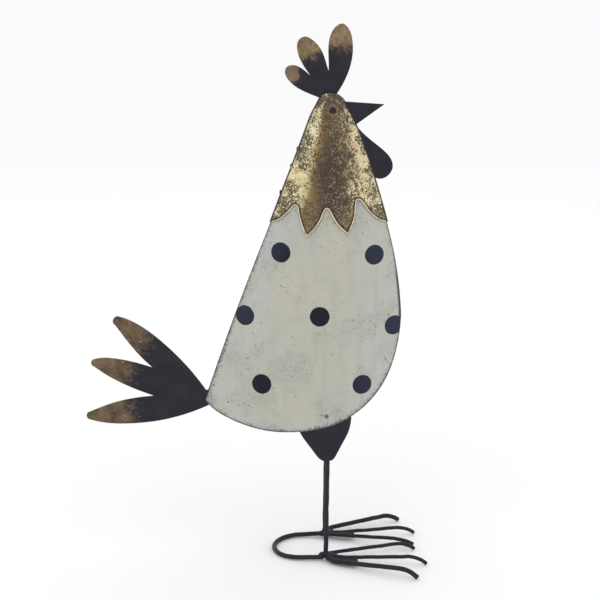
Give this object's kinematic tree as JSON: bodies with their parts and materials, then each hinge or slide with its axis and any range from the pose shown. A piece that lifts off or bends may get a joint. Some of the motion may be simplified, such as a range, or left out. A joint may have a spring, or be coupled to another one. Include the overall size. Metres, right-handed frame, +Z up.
{
  "type": "standing hen ornament",
  "caption": "Standing hen ornament of bowed, painted sheet metal on bent wire legs, with a gilded neck, sheet comb, beak, wattle and tail.",
  "frame": {"origin": "on the ground, at the centre of the bounding box", "axes": "+X forward towards the beak, +Y to the hen's left, +Z up"},
  "size_m": [0.2908, 0.1331, 0.451],
  "materials": {
    "body_paint": "worn matt paint",
    "gold_leaf": "mottled antique leaf",
    "trim_wire": "satin",
    "black_sheet": "satin paint",
    "black_wire": "satin paint"
  },
  "bodies": {
    "root": {"right_body_shell": "body_paint", "left_body_shell": "body_paint", "right_neck_cape": "gold_leaf", "left_neck_cape": "gold_leaf", "right_cape_trim": "trim_wire", "left_cape_trim": "trim_wire", "comb": "black_sheet", "beak": "black_sheet", "wattle": "black_sheet", "tail": "black_sheet", "right_eye": "black_wire", "left_eye": "black_wire", "right_thigh": "black_sheet", "left_thigh": "black_sheet", "right_leg": "black_wire", "left_leg": "black_wire", "right_centre_toe": "black_wire", "left_centre_toe": "black_wire", "right_inner_toe": "black_wire", "left_inner_toe": "black_wire", "heel_loop": "black_wire", "right_foot_web": "black_wire", "left_foot_web": "black_wire", "seam_tack_welds": "black_wire", "foot_welds": "black_wire", "leg_welds": "black_wire"}
  },
  "joints": []
}
